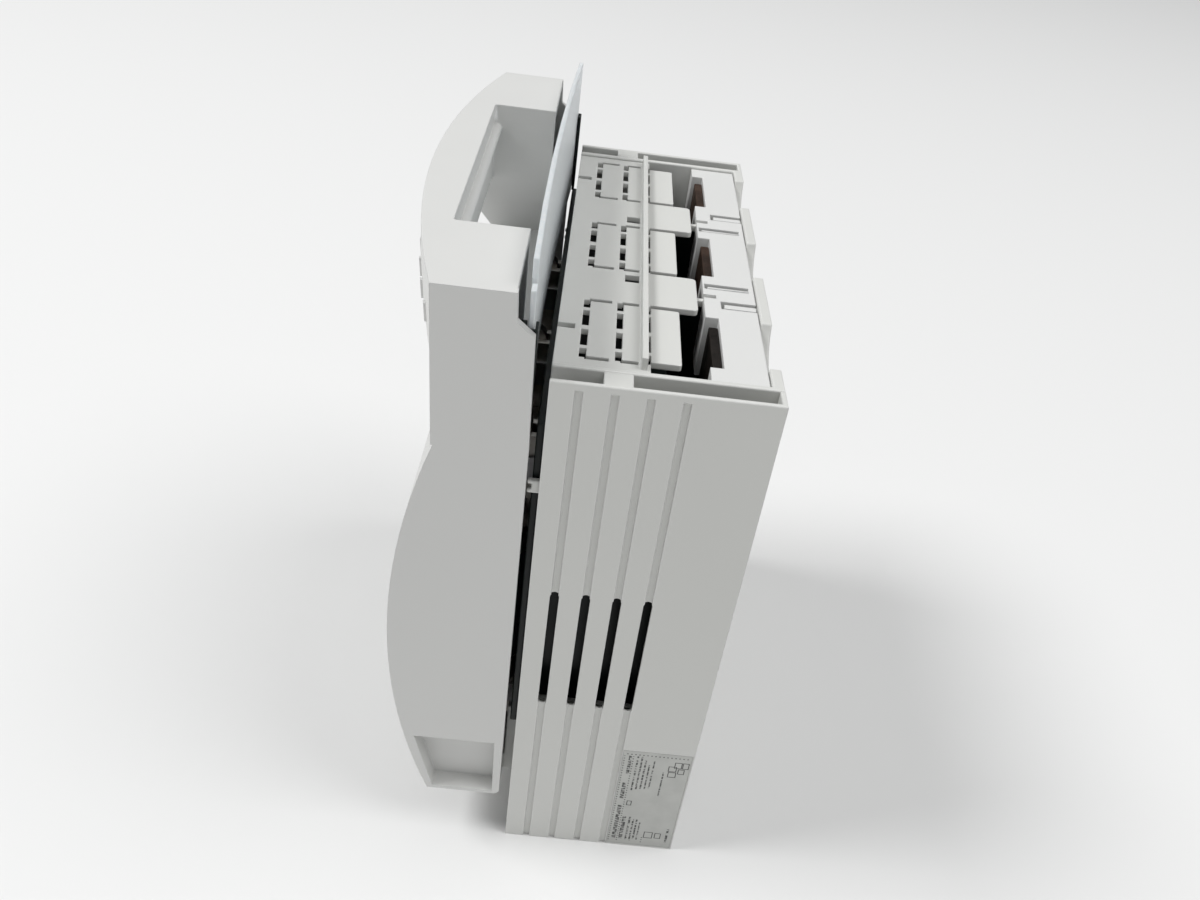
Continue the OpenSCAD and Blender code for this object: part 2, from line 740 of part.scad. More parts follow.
module fuse_frame() color(black) placed() difference() {
    union() {
        for (dz = [-beam_off, beam_off]) slab([-frame_half, frame_half], [beam_front, beam_back],
            [mid_z + dz - beam_h/2, mid_z + dz + beam_h/2]);
        both_sides() slab([frame_half - 3, frame_half], [-30, beam_back],
            [mid_z - beam_off, mid_z + beam_off]);
        each_pole() slab([-4, 4], [beam_front, fuse_y - tube_r - clip_t - 0.4],
            [mid_z - beam_off, mid_z + beam_off]);
    }
    each_pole() rod_z(cap_r + 0.25, 0, fuse_y, [mid_z - beam_off - beam_h, mid_z + beam_off + beam_h]);
    each_gap() for (dz = [-beam_off, beam_off]) {
        rod_y(2.1, 0, [beam_front - over, beam_back + over], mid_z + dz);
        rod_y(4.3, 0, [beam_back - 3, beam_back + over], mid_z + dz);
    }
    each_pole() for (s = [-1, 1])
        rod_y(1.5, 0, [beam_front - over, fuse_y - tube_r + 2], mid_z + s*clip_off);
}

module frame_screws() color(steel) placed() each_gap() for (dz = [-beam_off, beam_off]) {
    rod_y(1.65, 0, [-42.9, beam_back - 2.5], mid_z + dz);
    rod_y(4, 0, [beam_back - 2.95, beam_back - 0.5], mid_z + dz);
}

module fuse_clips() color(silver) placed() each_pole() for (s = [-1, 1]) difference() {
    rod_z(tube_r + 0.05 + clip_t, 0, fuse_y,
        [mid_z + s*clip_off - clip_h/2 + 0.3, mid_z + s*clip_off + clip_h/2 - 2.3]);
    rod_z(tube_r + 0.05, 0, fuse_y, [mid_z + s*clip_off - clip_h, mid_z + s*clip_off + clip_h]);
    slab([-cap_r - 2, cap_r + 2], [fuse_y + 9, fuse_y + cap_r + 5], [mid_z - 40, mid_z + 40]);
    rod_y(1.5, 0, [beam_front - over, fuse_y - tube_r + 2], mid_z + s*clip_off);
}

module clip_rivets() color(steel) placed() each_pole() for (s = [-1, 1])
    rod_y(1.45, 0, [beam_front + 0.1, fuse_y - tube_r - 0.3], mid_z + s*clip_off);

module fuse_tube(i) color([0.13, 0.14, 0.15]) placed() pole(i)
    rod_z(tube_r - 0.02, 0, fuse_y, [mid_z - body_len/2 + 3.05, mid_z + body_len/2 - 3.05]);

module fuse_caps(i) color(silver) placed() pole(i) both_ends() difference() {
    rod_z(cap_r, 0, fuse_y, [mid_z + body_len/2 - 12, mid_z + body_len/2]);
    rod_z(tube_r, 0, fuse_y, [mid_z, mid_z + body_len/2 - 3]);
}

module fuse_blades(i) color(silver) placed() pole(i) both_ends() difference() {
    slab([-blade_t/2, blade_t/2], [fuse_y - blade_w/2, fuse_y + blade_w/2],
        [mid_z + body_len/2 + 0.02, mid_z + fuse_len/2]);
    rod_x(3.6, [-blade_t, blade_t], fuse_y, mid_z + jaw_off);
    for (s = [-1, 1]) translate([0, fuse_y + s*blade_w/2, mid_z + fuse_len/2]) rotate([45, 0, 0])
        slab([-blade_t, blade_t], [-2, 2], [-2, 2]);
}

module inspection_lenses() color([0.7, 0.8, 0.85, 0.5]) placed() window(0.8, [0.05, 1.2]);

// Shape of the clear plate seen from above, grown by g on both faces
module guard_plan(g) translate([0, guard_y, 0]) rotate([0, 0, -guard_turn])
    translate([0, guard_r - guard_bow, 0]) difference() {
        circle(r = guard_r + guard_t/2 + g, $fn = 360);
        circle(r = guard_r - guard_t/2 - g, $fn = 360);
    }

module hand_guard() color([0.8, 0.88, 0.9, 0.5]) placed() difference() {
    intersection() {
        translate([0, 0, guard_top - guard_h]) linear_extrude(guard_h) guard_plan(0);
        slab([-guard_half, guard_half], [-20, 5], [0, 2*base_h]);
    }
    slab([guard_half - 4, guard_half + over], [-20, 5], [cover_top - 1, cover_top + 2.5]);
}

// Where the clear plate's middle surface lies, x mm from the middle
function guard_at(x) = guard_y - guard_bow - x*sin(guard_turn)
    + guard_r - sqrt(pow(guard_r, 2) - pow(x, 2));

module guard_rails() color(black) placed() for (s = [-1, 1]) difference() {
    slab([min(s*rail_x0, s*rail_x1), max(s*rail_x0, s*rail_x1)],
        [s > 0 ? -rail_front : guard_at(-guard_half) - rail_half, guard_at(s*guard_half) + rail_half],
        [rail_lo, rail_hi]);
    translate([0, 0, rail_lo - over]) linear_extrude(rail_hi - rail_lo + 2*over) intersection() {
        guard_plan(guard_fit);
        translate([-guard_half - 0.5, -20]) square([2*guard_half + 1, 40]);
    }
}

// Nodes

base_housing();
side_cover_right();
side_cover_left();
top_cover();
bottom_cover();
terminal_block_top();
terminal_block_bottom();
contact_block();
block_screws();
phase_barriers();
upper_jaw(1);  // upper_jaw_1
upper_jaw(2);  // upper_jaw_2
upper_jaw(3);  // upper_jaw_3
lower_jaw(1);  // lower_jaw_1
lower_jaw(2);  // lower_jaw_2
lower_jaw(3);  // lower_jaw_3
jaw_springs();
jaw_screws();
top_bar(1);  // top_bar_1
top_bar(2);  // top_bar_2
top_bar(3);  // top_bar_3
bottom_bar(1);  // bottom_bar_1
bottom_bar(2);  // bottom_bar_2
bottom_bar(3);  // bottom_bar_3
terminal_nuts();
arc_plates();
hinge_brackets();
bracket_screws();
rating_label();
cover_shell();
hinge_pins();
fuse_frame();
frame_screws();
fuse_clips();
clip_rivets();
fuse_tube(1);  // fuse_tube_1
fuse_tube(2);  // fuse_tube_2
fuse_tube(3);  // fuse_tube_3
fuse_caps(1);  // fuse_caps_1
fuse_caps(2);  // fuse_caps_2
fuse_caps(3);  // fuse_caps_3
fuse_blades(1);  // fuse_blades_1
fuse_blades(2);  // fuse_blades_2
fuse_blades(3);  // fuse_blades_3
inspection_lenses();
guard_rails();
hand_guard();
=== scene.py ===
import json
import math

import bpy
from mathutils import Matrix, Vector
from mathutils.kdtree import KDTree


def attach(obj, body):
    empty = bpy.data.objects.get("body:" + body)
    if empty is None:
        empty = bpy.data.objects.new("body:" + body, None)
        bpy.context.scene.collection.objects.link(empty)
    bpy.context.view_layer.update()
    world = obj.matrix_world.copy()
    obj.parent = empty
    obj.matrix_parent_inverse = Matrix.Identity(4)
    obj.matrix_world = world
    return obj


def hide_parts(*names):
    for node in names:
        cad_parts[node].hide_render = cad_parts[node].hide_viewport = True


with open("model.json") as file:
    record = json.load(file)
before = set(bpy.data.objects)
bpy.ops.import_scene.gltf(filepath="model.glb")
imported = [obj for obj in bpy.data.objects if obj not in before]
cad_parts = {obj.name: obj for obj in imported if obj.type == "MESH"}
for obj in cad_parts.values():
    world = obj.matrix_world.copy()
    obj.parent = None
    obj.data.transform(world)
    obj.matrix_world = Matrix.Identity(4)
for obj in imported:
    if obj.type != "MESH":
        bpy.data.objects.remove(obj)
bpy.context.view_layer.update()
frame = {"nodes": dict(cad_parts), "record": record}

scene = bpy.context.scene
mm = 0.001

# places and sizes are in metres, the lens and the sensor in mm
cameraShot = {
    "place": (0.3300, -0.0047, 0.3718),
    "heading": 87.324,  # degrees turned from looking along +Y
    "tilt": 36.435,     # degrees below the horizon
    "roll": 7.976,
    "lens": 30.705,
    "sensor": 36,
    "near": 0.01,
}
room = {
    "floor": (0.815, 0.815, 0.810),
    "floorSize": 12,
    "floorRough": 0.85,
    "floorShine": 0.15,
    "sky": (0.93, 0.94, 0.95),
    "skyStrength": 0.40,
    "key": {"place": (0.10, -2.40, 3.20), "aim": (0, 0, 0.1), "size": 1.5, "power": 88.0},
    "fill": {"place": (0.40, 1.90, 3.40), "aim": (0, 0, 0.1), "size": 2.4, "power": 58.0},
}


def addCamera():
    shot = cameraShot
    bpy.ops.object.camera_add()
    camera = bpy.context.object
    camera.name = "studioCamera"
    camera.data.lens = shot["lens"]
    camera.data.sensor_width = shot["sensor"]
    camera.data.clip_start = shot["near"]
    turn = (
        Matrix.Rotation(math.radians(shot["heading"]), 4, "Z")
        @ Matrix.Rotation(math.radians(90 - shot["tilt"]), 4, "X")
        @ Matrix.Rotation(math.radians(shot["roll"]), 4, "Z")
    )
    camera.matrix_world = Matrix.Translation(shot["place"]) @ turn
    scene.camera = camera


def addSoftLight(name, light):
    bpy.ops.object.light_add(type="AREA", location=light["place"])
    lamp = bpy.context.object
    lamp.name = name
    lamp.data.shape = "DISK"
    lamp.data.size = light["size"]
    lamp.data.energy = light["power"]
    aim = Vector(light["aim"]) - Vector(light["place"])
    lamp.rotation_euler = aim.to_track_quat("-Z", "Y").to_euler()


def addRoom():
    world = bpy.data.worlds.new("studioSky")
    world.use_nodes = True
    sky = world.node_tree.nodes["Background"]
    sky.inputs["Color"].default_value = (*room["sky"], 1)
    sky.inputs["Strength"].default_value = room["skyStrength"]
    scene.world = world
    bpy.ops.mesh.primitive_plane_add(size=room["floorSize"], location=(0, 0, 0))
    floor = bpy.context.object
    floor.name = "studioFloor"
    paper = bpy.data.materials.new("paperFloor")
    paper.use_nodes = True
    shader = paper.node_tree.nodes["Principled BSDF"]
    shader.inputs["Base Color"].default_value = (*room["floor"], 1)
    shader.inputs["Roughness"].default_value = room["floorRough"]
    shader.inputs["Specular IOR Level"].default_value = room["floorShine"]
    floor.data.materials.append(paper)
    addSoftLight("keyLight", room["key"])
    addSoftLight("fillLight", room["fill"])
    scene.view_settings.view_transform = "Standard"


bpy.ops.object.select_all(action="DESELECT")
addCamera()
addRoom()
print("stage: camera, floor and lights")


class NodeMaker:
    # short calls for adding and linking shader nodes
    def __init__(self, tree):
        self.tree = tree

    def add(self, kind, **inputs):
        made = self.tree.nodes.new(kind)
        for name, value in inputs.items():
            self.feed(made, name, value)
        return made

    def feed(self, made, name, value):
        # i0, i1 and so on are places in the list of inputs, anything else is a name
        numbered = name[0] == "i" and name[1:].isdigit()
        target = made.inputs[int(name[1:]) if numbered else name.replace("_", " ")]
        if isinstance(value, bpy.types.NodeSocket):
            self.tree.links.new(value, target)
        else:
            target.default_value = value

    def math(self, how, a, b=0.0, c=0.0, clamp=False):
        made = self.add("ShaderNodeMath", i0=a, i1=b, i2=c)
        made.operation = how
        made.use_clamp = clamp
        return made.outputs[0]

    def vector(self, how, a, b=(0, 0, 0)):
        made = self.add("ShaderNodeVectorMath", i0=a, i1=b)
        made.operation = how
        return made

    def mix(self, share, a, b, how="MIX"):
        made = self.tree.nodes.new("ShaderNodeMix")
        made.data_type = "RGBA"
        made.blend_type = how
        self.feed(made, "i0", share)
        self.feed(made, "i6", a)
        self.feed(made, "i7", b)
        return made.outputs[2]

    def noise(self, where, scale, detail=2.0, rough=0.5):
        made = self.add("ShaderNodeTexNoise", Vector=where, Scale=scale, Detail=detail, Roughness=rough)
        return made.outputs[0]

    def spread(self, value, low, high, newLow=0.0, newHigh=1.0):
        made = self.add("ShaderNodeMapRange", i0=value, i1=low, i2=high, i3=newLow, i4=newHigh)
        return made.outputs[0]

    def grey(self, tone):
        return self.add("ShaderNodeCombineColor", i0=tone, i1=tone, i2=tone).outputs[0]

    def place(self):
        # place on the piece, in metres
        return self.add("ShaderNodeTexCoord").outputs["Object"]

    def group(self, name, **inputs):
        made = self.tree.nodes.new("ShaderNodeGroup")
        made.node_tree = bpy.data.node_groups[name]
        for key, value in inputs.items():
            self.feed(made, key, value)
        return made


def newGroup(name, inputs, outputs):
    tree = bpy.data.node_groups.new(name, "ShaderNodeTree")
    for label, kind, value in inputs:
        made = tree.interface.new_socket(label, in_out="INPUT", socket_type="NodeSocket" + kind)
        if value is not None:
            made.default_value = value
    for label, kind in outputs:
        tree.interface.new_socket(label, in_out="OUTPUT", socket_type="NodeSocket" + kind)
    maker = NodeMaker(tree)
    return maker, tree.nodes.new("NodeGroupInput").outputs, tree.nodes.new("NodeGroupOutput")


# noise scales are in cells a metre, and each span says where a mask starts and where it is full
effects = {
    "coarseScale": 0.28,   # share of the fine grain's scale
    "coarseHeight": 0.6,
    "flowScale": 9.0,
    "flowShare": 0.7,
    "blotchScale": 45.0,
    "blotchShare": 0.3,
    "blotchSpan": (0.3, 0.7),
    # the rub spans pick out corners, broken up by noise, for a painted highlight and the polish of
    # handling
    "rubAndHighlightSpan": (0.995, 0.92),
    "rubAndHighlightScale": 260.0,
    "rubAndHighlightBreak": (0.35, 0.65),
    "dustSlope": (0.3, 1.0),
    "filmScale": 60.0,
    "filmSpan": (0.35, 0.75),
    "filmShare": 0.35,
    "speckScale": 1500.0,
    "speckSpan": (0.70, 0.76),
    "drawnOut": (1.0, 1.0, 0.04),
    "streakSpan": (0.3, 0.7),
    "tarnishSpan": (0.38, 0.68),
}


def makeMouldedGrain():
    # fine spark-eroded grain with slow flow marks, as on moulded housings
    m, given, out = newGroup(
        "mouldedGrain",
        [("Where", "Vector", None), ("Grain Size", "Float", 0.35), ("Mottle", "Float", 0.03)],
        [("Height", "Float"), ("Tone", "Float"), ("Gloss", "Float")],
    )
    look = effects
    pitch = m.math("DIVIDE", 1 / mm, given["Grain Size"])
    fine = m.noise(given["Where"], pitch, 2.0, 0.6)
    coarse = m.noise(given["Where"], m.math("MULTIPLY", pitch, look["coarseScale"]), 2.0, 0.5)
    m.feed(out, "Height", m.math("ADD", fine, m.math("MULTIPLY", coarse, look["coarseHeight"])))
    flow = m.noise(given["Where"], look["flowScale"], 3.0, 0.55)
    blotch = m.noise(given["Where"], look["blotchScale"], 2.0, 0.5)
    slow = m.math("MULTIPLY", flow, look["flowShare"])
    both = m.math("ADD", slow, m.math("MULTIPLY", blotch, look["blotchShare"]))
    swing = m.math("MULTIPLY", m.math("SUBTRACT", both, 0.5), given["Mottle"])
    m.feed(out, "Tone", m.math("ADD", 1.0, m.math("MULTIPLY", swing, 2.0)))
    m.feed(out, "Gloss", m.spread(blotch, *look["blotchSpan"], -1.0, 1.0))


def makeEdgeRubAndHighlight():
    # one along outside corners, broken up by noise; it marks where handling polishes them and where a
    # highlight is painted on them
    m, given, out = newGroup(
        "edgeRubAndHighlight",
        [("Where", "Vector", None), ("Width", "Float", 0.6), ("Break Up", "Float", 0.5)],
        [("Mask", "Float"), ("Soft Normal", "Vector")],
    )
    rounded = m.add("ShaderNodeBevel", Radius=m.math("MULTIPLY", given["Width"], mm))
    rounded.samples = 4
    plain = m.add("ShaderNodeNewGeometry").outputs["Normal"]
    alike = m.vector("DOT_PRODUCT", rounded.outputs[0], plain).outputs["Value"]
    edge = m.spread(alike, *effects["rubAndHighlightSpan"])
    patches = m.noise(given["Where"], effects["rubAndHighlightScale"], 3.0, 0.6)
    breakUp = m.spread(patches, *effects["rubAndHighlightBreak"])
    kept = m.math("SUBTRACT", 1.0, m.math("MULTIPLY", given["Break Up"], breakUp))
    m.feed(out, "Mask", m.math("MULTIPLY", edge, kept, clamp=True))
    m.feed(out, "Soft Normal", rounded.outputs[0])


def makeSettledDust():
    # thin dust on faces that look up, gathered in specks
    m, given, out = newGroup(
        "settledDust",
        [("Where", "Vector", None), ("Amount", "Float", 0.3)],
        [("Mask", "Float")],
    )
    normal = m.add("ShaderNodeNewGeometry").outputs["Normal"]
    up = m.add("ShaderNodeSeparateXYZ", i0=normal).outputs[2]
    look = effects
    facing = m.spread(up, *look["dustSlope"])
    film = m.spread(m.noise(given["Where"], look["filmScale"], 4.0, 0.6), *look["filmSpan"])
    specks = m.spread(m.noise(given["Where"], look["speckScale"], 1.0, 0.5), *look["speckSpan"])
    both = m.math("MAXIMUM", m.math("MULTIPLY", film, look["filmShare"]), specks)
    lying = m.math("MULTIPLY", facing, both)
    m.feed(out, "Mask", m.math("MULTIPLY", lying, given["Amount"], clamp=True))


def makeDrawnGrain():
    # lines drawn along Z on metal, with a cloudy tarnish
    m, given, out = newGroup(
        "drawnGrain",
        [("Where", "Vector", None), ("Pitch", "Float", 900.0), ("Tarnish Size", "Float", 90.0)],
        [("Height", "Float"), ("Streak", "Float"), ("Tarnish", "Float")],
    )
    drawn = m.vector("MULTIPLY", given["Where"], effects["drawnOut"]).outputs[0]
    streak = m.noise(drawn, given["Pitch"], 3.0, 0.6)
    m.feed(out, "Height", streak)
    m.feed(out, "Streak", m.spread(streak, *effects["streakSpan"]))
    cloud = m.noise(given["Where"], given["Tarnish Size"], 5.0, 0.62)
    m.feed(out, "Tarnish", m.spread(cloud, *effects["tarnishSpan"]))


makeMouldedGrain()
makeEdgeRubAndHighlight()
makeSettledDust()
makeDrawnGrain()
print("stage: shared effects")

# plastics: own colour, grain size in mm, bump, mottle, and the lighter colour painted on rubbed corners
# as a highlight
finishes = {
    "basePlastic": {
        "color": (0.640, 0.643, 0.618), "rough": 0.42, "grain": 0.32, "bump": 0.05, "mottle": 0.03,
        "rubAndHighlight": (0.90, 0.90, 0.885), "rubAndHighlightShare": 0.9, "dust": 0.10, "shine": 0.42,
    },
    "terminalPlastic": {
        "color": (0.690, 0.692, 0.680), "rough": 0.36, "grain": 0.30, "bump": 0.04, "mottle": 0.02,
        "rubAndHighlight": (0.90, 0.90, 0.89), "rubAndHighlightShare": 0.8, "dust": 0.08, "shine": 0.42,
    },
    "coverPlastic": {
        "color": (0.655, 0.656, 0.640), "rough": 0.46, "grain": 0.36, "bump": 0.06, "mottle": 0.02,
        "rubAndHighlight": (0.88, 0.88, 0.87), "rubAndHighlightShare": 0.8, "dust": 0.08, "shine": 0.42,
    },
    "blackPlastic": {
        "color": (0.004, 0.0075, 0.0070), "rough": 0.34, "grain": 0.30, "bump": 0.08, "mottle": 0.20,
        "rubAndHighlight": (0.03, 0.038, 0.036), "rubAndHighlightShare": 0.5, "dust": 0.02, "shine": 0.22,
    },
    "fuseTube": {
        "color": (0.035, 0.040, 0.046), "rough": 0.30, "grain": 0.5, "bump": 0.06, "mottle": 0.15,
        "rubAndHighlight": (0.12, 0.12, 0.13), "rubAndHighlightShare": 0.4, "dust": 0.05, "shine": 0.4,
    },
}
# what handling, dust and the painted corner highlight do to every plastic; the last three are changes
# of roughness, rub and highlight widths are in mm, and bend is the index of refraction
plasticWearAndHighlight = {
    "bend": 1.5,
    "rubAndHighlightWidth": 0.7, "breakUp": 0.5, "dustColor": (0.72, 0.70, 0.66),
    "glossSwing": 0.03, "rubGloss": -0.08, "dustRough": 0.3,
}
# metals: own colour, the colour of the tarnish and its share
metals = {
    "dullCopper": {
        "color": (0.135, 0.080, 0.056), "dark": (0.045, 0.034, 0.028), "rough": 0.42, "tarnish": 0.85,
    },
    "sootyCopper": {
        "color": (0.040, 0.034, 0.030), "dark": (0.008, 0.009, 0.009), "rough": 0.50, "tarnish": 1.0,
    },
    "silverPlate": {
        "color": (0.74, 0.72, 0.68), "dark": (0.42, 0.39, 0.34), "rough": 0.30, "tarnish": 0.6,
    },
    "zincSteel": {
        "color": (0.62, 0.62, 0.63), "dark": (0.36, 0.36, 0.38), "rough": 0.32, "tarnish": 0.5,
    },
}
# what handling does to every metal, with a highlight painted on its corners
metalWearAndHighlight = {
    "rubAndHighlightWidth": 0.5, "breakUp": 0.6, "rubAndHighlightShare": 0.7, "brighter": 1.25,
    "bump": 0.08, "streakRough": 0.10, "stainRough": 0.18,
}
# clear sheets: tints from clean to scuffed, roughness from clean to scuffed
sheets = {
    "frostedPlastic": {
        "tints": ((0.86, 0.90, 0.92), (0.96, 0.97, 0.97)), "rough": (0.40, 0.66), "clearness": 0.35,
    },
    "clearPlastic": {
        "tints": ((0.90, 0.94, 0.95), (0.96, 0.98, 0.98)), "rough": (0.06, 0.18), "clearness": 0.95,
    },
}
sheetWear = {
    "bend": 1.42, "bump": 0.12,
    "scuffOut": (1.0, 1.0, 0.25), "scuffScale": 700.0, "scuffSpan": (0.45, 0.72),
}
bumpDepth = 0.0001  # metres


def newMaterial(name, **constants):
    material = bpy.data.materials.new(name)
    material.use_nodes = True
    m = NodeMaker(material.node_tree)
    shader = material.node_tree.nodes["Principled BSDF"]
    for key, value in constants.items():
        m.feed(shader, key, value)
    return material, m, shader


def opaque(color):
    return (*color, 1.0)


def makeMouldedPlastic(name, look):
    material, m, shader = newMaterial(
        name, IOR=plasticWearAndHighlight["bend"], Specular_IOR_Level=look["shine"],
    )
    where = m.place()
    grain = m.group("mouldedGrain", Where=where, Grain_Size=look["grain"], Mottle=look["mottle"])
    wear = plasticWearAndHighlight
    rubAndHighlight = m.group("edgeRubAndHighlight", Where=where, Width=wear["rubAndHighlightWidth"], Break_Up=wear["breakUp"])
    dust = m.group("settledDust", Where=where, Amount=look["dust"])
    body = m.mix(1.0, opaque(look["color"]), m.grey(grain.outputs["Tone"]), "MULTIPLY")
    # corners painted lighter: a painted highlight, together with the polish of handling
    wornAndHighlighted = m.mix(m.math("MULTIPLY", rubAndHighlight.outputs[0], look["rubAndHighlightShare"]), body, opaque(look["rubAndHighlight"]))
    dusty = m.mix(dust.outputs[0], wornAndHighlighted, opaque(wear["dustColor"]))
    m.feed(shader, "Base Color", dusty)
    gloss = m.math("MULTIPLY_ADD", grain.outputs["Gloss"], wear["glossSwing"], look["rough"])
    gloss = m.math("MULTIPLY_ADD", rubAndHighlight.outputs[0], wear["rubGloss"], gloss)
    gloss = m.math("MULTIPLY_ADD", dust.outputs[0], wear["dustRough"], gloss, clamp=True)
    m.feed(shader, "Roughness", gloss)
    bump = m.add(
        "ShaderNodeBump", Strength=look["bump"], Distance=bumpDepth,
        Height=grain.outputs["Height"], Normal=rubAndHighlight.outputs["Soft Normal"],
    )
    m.feed(shader, "Normal", bump.outputs[0])
    return material


def makeMetal(name, look):
    material, m, shader = newMaterial(name, Metallic=1.0)
    where = m.place()
    drawn = m.group("drawnGrain", Where=where)
    wear = metalWearAndHighlight
    rubAndHighlight = m.group("edgeRubAndHighlight", Where=where, Width=wear["rubAndHighlightWidth"], Break_Up=wear["breakUp"])
    stain = m.math("MULTIPLY", drawn.outputs["Tarnish"], look["tarnish"])
    body = m.mix(stain, opaque(look["color"]), opaque(look["dark"]))
    # corners painted brighter: a painted highlight, together with the polish of handling
    bright = tuple(min(1.0, c * wear["brighter"]) for c in look["color"])
    rubbedAndHighlighted = m.math("MULTIPLY", rubAndHighlight.outputs[0], wear["rubAndHighlightShare"])
    m.feed(shader, "Base Color", m.mix(rubbedAndHighlighted, body, opaque(bright)))
    gloss = m.math("MULTIPLY_ADD", drawn.outputs["Streak"], wear["streakRough"], look["rough"])
    gloss = m.math("MULTIPLY_ADD", stain, wear["stainRough"], gloss, clamp=True)
    m.feed(shader, "Roughness", gloss)
    bump = m.add(
        "ShaderNodeBump", Strength=wear["bump"], Distance=bumpDepth, Height=drawn.outputs["Height"],
    )
    m.feed(shader, "Normal", bump.outputs[0])
    return material


def makeClearSheet(name, look):
    # clear sheet with fine scuffs that run up and down it
    wear = sheetWear
    material, m, shader = newMaterial(
        name, Transmission_Weight=look["clearness"], IOR=wear["bend"], Metallic=0.0,
    )
    drawn = m.vector("MULTIPLY", m.place(), wear["scuffOut"]).outputs[0]
    scuffs = m.noise(drawn, wear["scuffScale"], 4.0, 0.65)
    haze = m.spread(scuffs, *wear["scuffSpan"])
    clean, scuffed = look["tints"]
    m.feed(shader, "Base Color", m.mix(haze, opaque(clean), opaque(scuffed)))
    m.feed(shader, "Roughness", m.spread(haze, 0.0, 1.0, *look["rough"]))
    bump = m.add("ShaderNodeBump", Strength=wear["bump"], Distance=bumpDepth, Height=scuffs)
    m.feed(shader, "Normal", bump.outputs[0])
    return material


# label print as plain rows, boxes and dots, in mm
labelPrint = {
    "film": (0.47, 0.475, 0.455),
    "ink": (0.012, 0.012, 0.013),
    "inkShare": 0.85,
    "filmMetal": 0.35,
    "filmShine": 0.5,
    "filmRough": 0.34,
    "inkRough": 0.55,
    "inkBump": 0.1,
    "inkDepth": 0.00003,  # metres
    "side": 43.55,  # y of the label's middle
    "foot": 0.95,   # height of its lower edge
    # rows of small print run up the label: (middle, height above the foot, width, length)
    "rows": [
        (-10.3, 14.5, 1.6, 22.0), (-10.3, 35.0, 1.5, 10.0), (-10.0, 51.0, 1.2, 11.0),
        (-7.6, 11.0, 1.5, 15.0), (-5.4, 10.5, 0.8, 16.0), (-3.9, 10.0, 0.7, 15.0),
        (-2.5, 10.8, 0.7, 14.0), (-1.1, 9.5, 0.6, 12.0), (-7.2, 46.0, 0.7, 21.0),
        (-5.6, 46.5, 0.7, 20.0), (-4.0, 45.5, 0.7, 18.0), (-2.4, 44.5, 0.6, 15.0),
        (-0.8, 46.0, 0.6, 17.0), (3.4, 41.0, 0.6, 15.0), (10.6, 8.0, 0.9, 9.0),
    ],
    "boxes": [
        (8.3, 53.2, 2.9, 3.6), (11.1, 53.2, 2.5, 3.6), (6.4, 50.8, 3.2, 3.2), (6.6, 47.4, 3.2, 3.2),
        (9.8, 49.6, 2.6, 3.0), (3.2, 7.4, 3.6, 4.2), (7.0, 7.4, 2.6, 3.6), (-7.0, 27.4, 2.0, 3.0),
    ],
    "line": 0.36,
    "dotRows": [(-12.2, 28.8, 0.55, 55.0), (-8.9, 28.8, 0.5, 55.0), (0.9, 4.0, 0.5, 5.0)],
    "dotRuns": [(0.0, 57.4, 24.0, 0.55)],
    "dotPitch": 1.5,
    # breaks along the rows, as shares of a noise in cells a metre
    "breakOut": (1.0, 0.3, 1.0),
    "breakScale": 1500.0,
    "breakSpan": (0.44, 0.50),
    # slow change of tone over the film
    "cloudScale": 120.0,
    "cloudSpan": (0.3, 0.7),
    "cloudTones": (0.94, 1.06),
}


def boxMask(m, across, up, box, grow=0.0):
    # one inside a box drawn on the label
    x, z, w, h = box
    inX = m.math("LESS_THAN", m.math("ABSOLUTE", m.math("SUBTRACT", across, x)), w / 2 + grow)
    inZ = m.math("LESS_THAN", m.math("ABSOLUTE", m.math("SUBTRACT", up, z)), h / 2 + grow)
    return m.math("MULTIPLY", inX, inZ)


def makeLabelFilm():
    # silvery film with plain printed bars, boxes and rows of dots
    look = labelPrint
    material, m, shader = newMaterial(
        "labelFilm", Metallic=look["filmMetal"], Specular_IOR_Level=look["filmShine"],
    )
    where = m.place()
    parts = m.add("ShaderNodeSeparateXYZ", i0=where).outputs
    across = m.math("MULTIPLY_ADD", parts[1], 1 / mm, -look["side"])
    up = m.math("MULTIPLY_ADD", parts[2], 1 / mm, -look["foot"])
    ink = 0.0
    for row in look["rows"]:
        ink = m.math("MAXIMUM", ink, boxMask(m, across, up, row))
    # breaks along the rows, so that they look like small print without being lettering
    stretched = m.vector("MULTIPLY", where, look["breakOut"]).outputs[0]
    breaks = m.noise(stretched, look["breakScale"], 1.0)
    ink = m.math("MULTIPLY", ink, m.spread(breaks, *look["breakSpan"]))
    for box in look["boxes"]:
        inner = boxMask(m, across, up, box, -look["line"])
        ink = m.math("MAXIMUM", ink, m.math("SUBTRACT", boxMask(m, across, up, box), inner))
    for rows, along in ((look["dotRows"], up), (look["dotRuns"], across)):
        beat = m.math("PINGPONG", along, look["dotPitch"] / 2)
        dotted = m.math("GREATER_THAN", beat, look["dotPitch"] / 3)
        for row in rows:
            ink = m.math("MAXIMUM", ink, m.math("MULTIPLY", boxMask(m, across, up, row), dotted))
    cloud = m.spread(m.noise(where, look["cloudScale"], 3.0), *look["cloudSpan"], *look["cloudTones"])
    film = m.mix(1.0, opaque(look["film"]), m.grey(cloud), "MULTIPLY")
    printed = m.math("MULTIPLY", ink, look["inkShare"])
    m.feed(shader, "Base Color", m.mix(printed, film, opaque(look["ink"])))
    m.feed(shader, "Roughness", m.spread(ink, 0.0, 1.0, look["filmRough"], look["inkRough"]))
    bump = m.add("ShaderNodeBump", Strength=look["inkBump"], Distance=look["inkDepth"], Height=ink)
    m.feed(shader, "Normal", bump.outputs[0])
    return material


materials = {name: makeMouldedPlastic(name, look) for name, look in finishes.items()}
materials.update({name: makeMetal(name, look) for name, look in metals.items()})
materials.update({name: makeClearSheet(name, look) for name, look in sheets.items()})
materials["labelFilm"] = makeLabelFilm()
print("stage: finishes")

